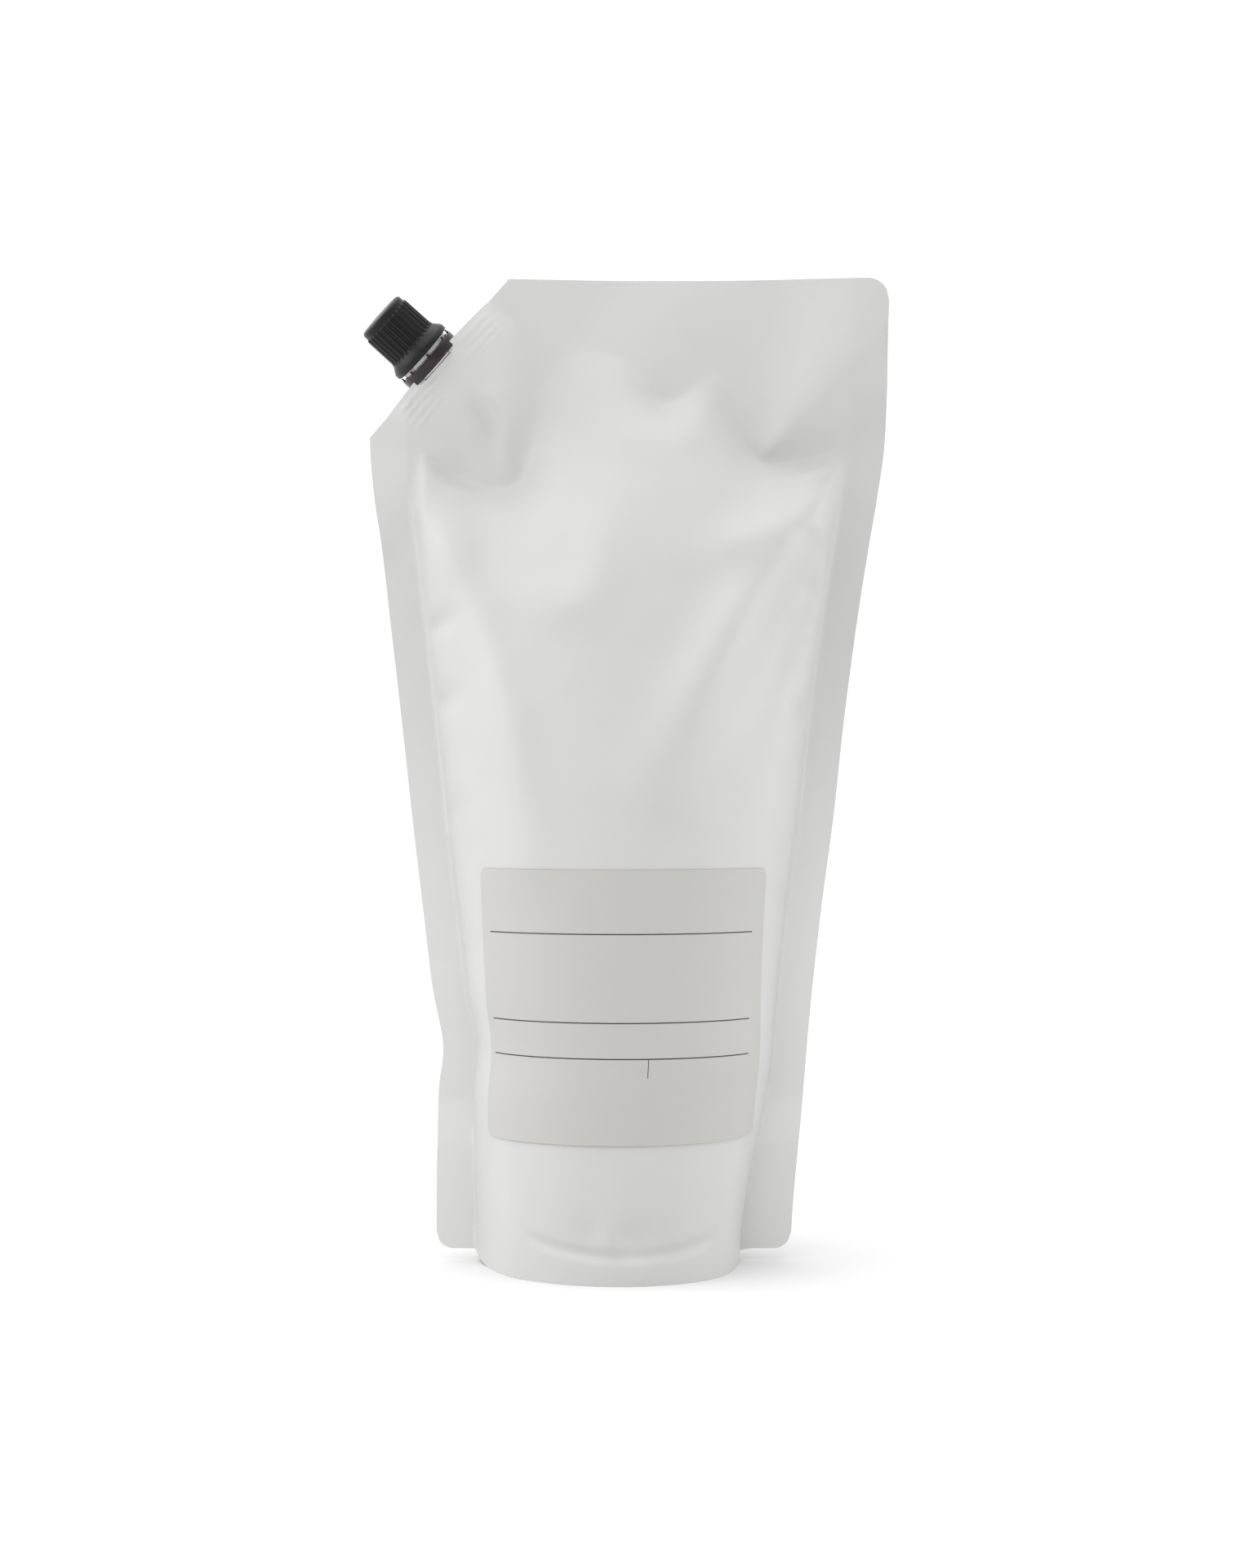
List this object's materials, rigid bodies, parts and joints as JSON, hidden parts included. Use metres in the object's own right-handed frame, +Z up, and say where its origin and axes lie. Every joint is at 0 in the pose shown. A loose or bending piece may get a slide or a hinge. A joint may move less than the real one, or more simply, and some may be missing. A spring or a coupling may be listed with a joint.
{
  "type": "liquid refill pouch",
  "caption": "Standing film refill pouch with a corner spout, a tamper band and a ribbed screw cap, full and sealed.",
  "frame": {"origin": "middle of the flat base on which the pack stands", "axes": "+Z up along the pack's height, -Y towards the labelled front, +X to the right seen from the front"},
  "size_m": [0.1508, 0.0866, 0.283],
  "materials": {
    "film": "satin matte film",
    "label": "matte coated label",
    "spout": "natural moulded plastic",
    "closure": "satin black moulded plastic",
    "liner": "matte foam disc"
  },
  "bodies": {
    "pouch": {"pouch": "film", "label": "label", "spout": "spout", "tamper_band": "closure"},
    "liner": {"cap_liner": "liner"},
    "cap": {"cap": "closure"}
  },
  "joints": [
    {"name": "cap_lift", "type": "slide", "parent": "pouch", "child": "liner", "axis": [-0.7331, -0.225, 0.6419], "range_m": [0, 0.00751]},
    {"name": "cap_turn", "type": "hinge", "parent": "liner", "child": "cap", "pos_m": [-0.06525, -0.00972, 0.27013], "axis": [-0.7331, -0.225, 0.6419], "range_deg": [0, 900]}
  ],
  "couplings": [
    {"joint": "cap_lift", "follows": "cap_turn", "m_per_rad": 0.00047746}
  ]
}
